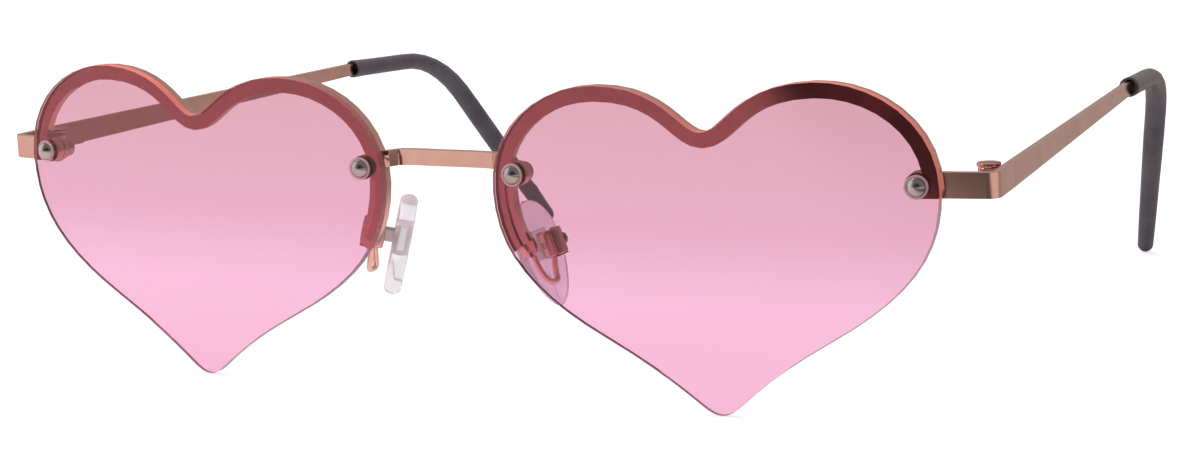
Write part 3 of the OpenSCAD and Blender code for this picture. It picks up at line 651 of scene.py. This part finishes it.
@dataclass
class Studio:
    """Camera, lamps, floor, background and the room that polished metal mirrors."""

    eye: Vector = field(default_factory=lambda: Vector((0.17659, -0.37032, 0.07780)))
    right: Vector = field(default_factory=lambda: Vector((0.8939, 0.4474, -0.0279)))
    up: Vector = field(default_factory=lambda: Vector((-0.0473, 0.1560, 0.9866)))
    lens: float = 81.72
    ambient: float = 0.62
    floor_glow: float = 0.70
    floor_shade: float = 0.34
    front_tone: Colour = (0.80, 0.64, 0.60)
    shade_way: Triple = (0.958, -0.287, 0.0)
    shade_from: float = 0.075
    shade_full: float = 0.135
    light_from: float = 0.19
    light_full: float = 0.225
    shade_tone: Colour = (0.12, 0.10, 0.095)
    back_way: Triple = (0.0, 1.0, 0.0)
    back_from: float = -0.03
    back_full: float = 0.03
    back_tone: Colour = (0.43, 0.345, 0.32)
    room_tone: Colour = (0.22, 0.19, 0.19)
    light_side: Triple = (-0.95, -0.10, 0.20)
    light_reach: tuple[float, float] = (0.55, 0.85)
    light_tone: Colour = (0.85, 0.83, 0.84)
    dark_side: Triple = (0.36, -0.91, 0.20)
    dark_reach: tuple[float, float] = (0.72, 0.93)
    dark_tone: Colour = (0.03, 0.025, 0.025)
    back_reach: tuple[float, float] = (0.25, 0.60)
    floor_size: float = 8.0
    floor_level: float = -0.0001
    floor_colour: Colour = (0.8, 0.8, 0.8)
    floor_roughness: float = 0.9
    aim: Vector = field(default_factory=lambda: Vector((0.0, 0.0, 0.02)))

    def camera(self) -> None:
        """Stands the camera where the photograph was taken."""
        data = bpy.data.cameras.new("camera")
        data.lens = self.lens
        data.sensor_width = 36.0
        data.clip_start = 0.01
        data.clip_end = 50.0
        back = self.right.cross(self.up).normalized()
        across = self.up.cross(back).normalized()
        turn = Matrix((across, back.cross(across), back)).transposed().to_4x4()
        camera = bpy.data.objects.new("camera", data)
        camera.matrix_world = Matrix.Translation(self.eye) @ turn
        bpy.context.scene.collection.objects.link(camera)
        bpy.context.scene.camera = camera

    def lamp(self, name: str, at: Triple, size: float, power: float) -> None:
        """Hangs a square soft lamp that faces the glasses.

        Args:
            name: the lamp's name.
            at: its place in metres.
            size: its width in metres.
            power: its power in watts.
        """
        data = bpy.data.lights.new(name, "AREA")
        data.size = size
        data.energy = power
        lamp = bpy.data.objects.new(name, data)
        lamp.visible_glossy = False
        lamp.location = at
        lamp.rotation_euler = (self.aim - Vector(at)).to_track_quat("-Z", "Y").to_euler()
        bpy.context.scene.collection.objects.link(lamp)

    def seen_white(self, tree: bpy.types.NodeTree) -> tuple[bpy.types.Node, bpy.types.Node]:
        """Adds what tells the rays that show the background from those that light.

        Args:
            tree: the nodes of the world or of a stage material.

        Returns:
            A node that is 1 for rays that show the background, and one that is 1 for those
            that a polished surface has thrown back.
        """
        path = place(tree, "ShaderNodeLightPath")
        first = place(tree, "ShaderNodeMath", operation="MAXIMUM")
        both = place(tree, "ShaderNodeMath", operation="MAXIMUM")
        thrown = place(tree, "ShaderNodeMath", {1: 0.5}, operation="GREATER_THAN")
        tree.links.new(path.outputs["Is Camera Ray"], first.inputs[0])
        tree.links.new(path.outputs["Is Glossy Ray"], first.inputs[1])
        tree.links.new(first.outputs[0], both.inputs[0])
        tree.links.new(path.outputs["Is Transmission Ray"], both.inputs[1])
        tree.links.new(path.outputs["Glossy Depth"], thrown.inputs[0])
        return both, thrown

    def side_of_room(self, tree: bpy.types.NodeTree, way: Triple, start: float, full: float,
                     measure: str = "Generated") -> bpy.types.Node:
        """Adds a mask for one side of the room or of the floor.

        Args:
            tree: the world's or the floor's nodes.
            way: direction of the side.
            start: reach along the direction at which the side starts.
            full: reach at which it is full.
            measure: the coordinate, a direction in the world or a place on the floor.

        Returns:
            The node whose result is 1 inside and 0 outside.
        """
        where = place(tree, "ShaderNodeTexCoord")
        facing = place(tree, "ShaderNodeVectorMath", {1: Vector(way).normalized()},
                       operation="DOT_PRODUCT")
        mask = place(tree, "ShaderNodeMapRange", {"From Min": start, "From Max": full},
                     interpolation_type="SMOOTHSTEP")
        tree.links.new(where.outputs[measure], facing.inputs[0])
        tree.links.new(facing.outputs["Value"], mask.inputs["Value"])
        return mask

    def blend(self, tree: bpy.types.NodeTree, factor: bpy.types.NodeSocket,
              first: bpy.types.NodeSocket | Colour, second: Colour) -> bpy.types.NodeSocket:
        """Mixes a tone over another.

        Args:
            tree: the nodes.
            factor: share of the second tone.
            first: the tone below, a socket or a colour.
            second: the tone above.

        Returns:
            The mixed colour's socket.
        """
        mix = place(tree, "ShaderNodeMix", data_type="RGBA")
        tree.links.new(factor, mix.inputs["Factor"])
        if isinstance(first, bpy.types.NodeSocket):
            tree.links.new(first, mix.inputs[6])
        else:
            mix.inputs[6].default_value = opaque(first)
        mix.inputs[7].default_value = opaque(second)
        return mix.outputs[2]

    def world(self) -> None:
        """Sets a white background, an even ambient light and the dim room that metal mirrors."""
        world = bpy.data.worlds.new("white_room")
        bpy.context.scene.world = world
        world.use_nodes = True
        tree = world.node_tree
        seen, thrown = self.seen_white(tree)
        strength = place(tree, "ShaderNodeMapRange", {"To Min": self.ambient, "To Max": 1.0})
        shade = tree.nodes["Background"]
        light_side = self.side_of_room(tree, self.light_side, *self.light_reach)
        dark_side = self.side_of_room(tree, self.dark_side, *self.dark_reach)
        room = self.blend(tree, light_side.outputs["Result"], self.room_tone, self.light_tone)
        room = self.blend(tree, dark_side.outputs["Result"], room, self.dark_tone)
        back_side = self.side_of_room(tree, self.back_way, *self.back_reach)
        room = self.blend(tree, back_side.outputs["Result"], room, self.back_tone)
        pick = place(tree, "ShaderNodeMix", data_type="RGBA")
        pick.inputs[6].default_value = opaque(WHITE)
        link = tree.links.new
        link(thrown.outputs[0], pick.inputs["Factor"])
        link(room, pick.inputs[7])
        link(pick.outputs[2], shade.inputs["Color"])
        link(seen.outputs[0], strength.inputs["Value"])
        link(strength.outputs["Result"], shade.inputs["Strength"])

    def floor(self) -> None:
        """Lays a white floor with a soft shadow, which metal mirrors as a lit table top."""
        bpy.ops.object.select_all(action="DESELECT")
        bpy.ops.mesh.primitive_plane_add(size=self.floor_size, location=(0, 0, self.floor_level))
        plane = bpy.context.object
        plane.name = "floor"
        material, shader = new_material("white_floor")
        tree = material.node_tree
        shader.inputs["Base Color"].default_value = opaque(self.floor_colour)
        shader.inputs["Roughness"].default_value = self.floor_roughness
        shader.inputs["Specular IOR Level"].default_value = 0.0
        seen, thrown = self.seen_white(tree)
        shaded = self.side_of_room(tree, self.shade_way, self.shade_from, self.shade_full,
                                   "Object")
        lit = self.side_of_room(tree, self.shade_way, self.light_from, self.light_full, "Object")
        back = self.side_of_room(tree, self.back_way, self.back_from, self.back_full, "Object")
        tone = self.blend(tree, shaded.outputs["Result"], self.front_tone, self.shade_tone)
        tone = self.blend(tree, lit.outputs["Result"], tone, self.front_tone)
        tone = self.blend(tree, back.outputs["Result"], tone, self.back_tone)
        pale = place(tree, "ShaderNodeMix", data_type="RGBA")
        pale.inputs[6].default_value = opaque(WHITE)
        tree.links.new(thrown.outputs[0], pale.inputs["Factor"])
        tree.links.new(tone, pale.inputs[7])
        tone = pale.outputs[2]
        glow = place(tree, "ShaderNodeEmission", {"Strength": self.floor_glow})
        dim = place(tree, "ShaderNodeVectorMath", {"Scale": self.floor_shade}, operation="SCALE")
        shade = place(tree, "ShaderNodeBsdfDiffuse")
        shine = place(tree, "ShaderNodeAddShader")
        pick = place(tree, "ShaderNodeMixShader")
        link = tree.links.new
        link(tone, glow.inputs["Color"])
        link(tone, dim.inputs[0])
        link(dim.outputs[0], shade.inputs["Color"])
        link(glow.outputs[0], shine.inputs[0])
        link(shade.outputs[0], shine.inputs[1])
        link(seen.outputs[0], pick.inputs[0])
        link(shader.outputs[0], pick.inputs[1])
        link(shine.outputs[0], pick.inputs[2])
        link(pick.outputs[0], tree.nodes["Material Output"].inputs["Surface"])
        plane.data.materials.append(material)

    def build(self) -> None:
        """Sets up the whole studio."""
        self.camera()
        self.world()
        self.floor()
        self.lamp("top_softbox", (-0.25, 0.10, 0.95), 0.9, 9.0)
        self.lamp("front_softbox", (-0.75, -0.65, 0.45), 0.6, 4.0)
        view = bpy.context.scene.view_settings
        view.view_transform = "Standard"


def main() -> None:
    """Builds the glasses' finishes and the studio."""
    logging.basicConfig(level=logging.INFO, format="%(message)s")
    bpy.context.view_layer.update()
    for part in (Lenses(), Front(), LensFixings(), Temples(), NosePads()):
        pieces = part.build()
        log.info("%s: %s pieces, %s faces", type(part).__name__, len(pieces),
                 sum(len(piece.data.polygons) for piece in pieces))
    Studio().build()


if __name__ == "__main__":
    main()
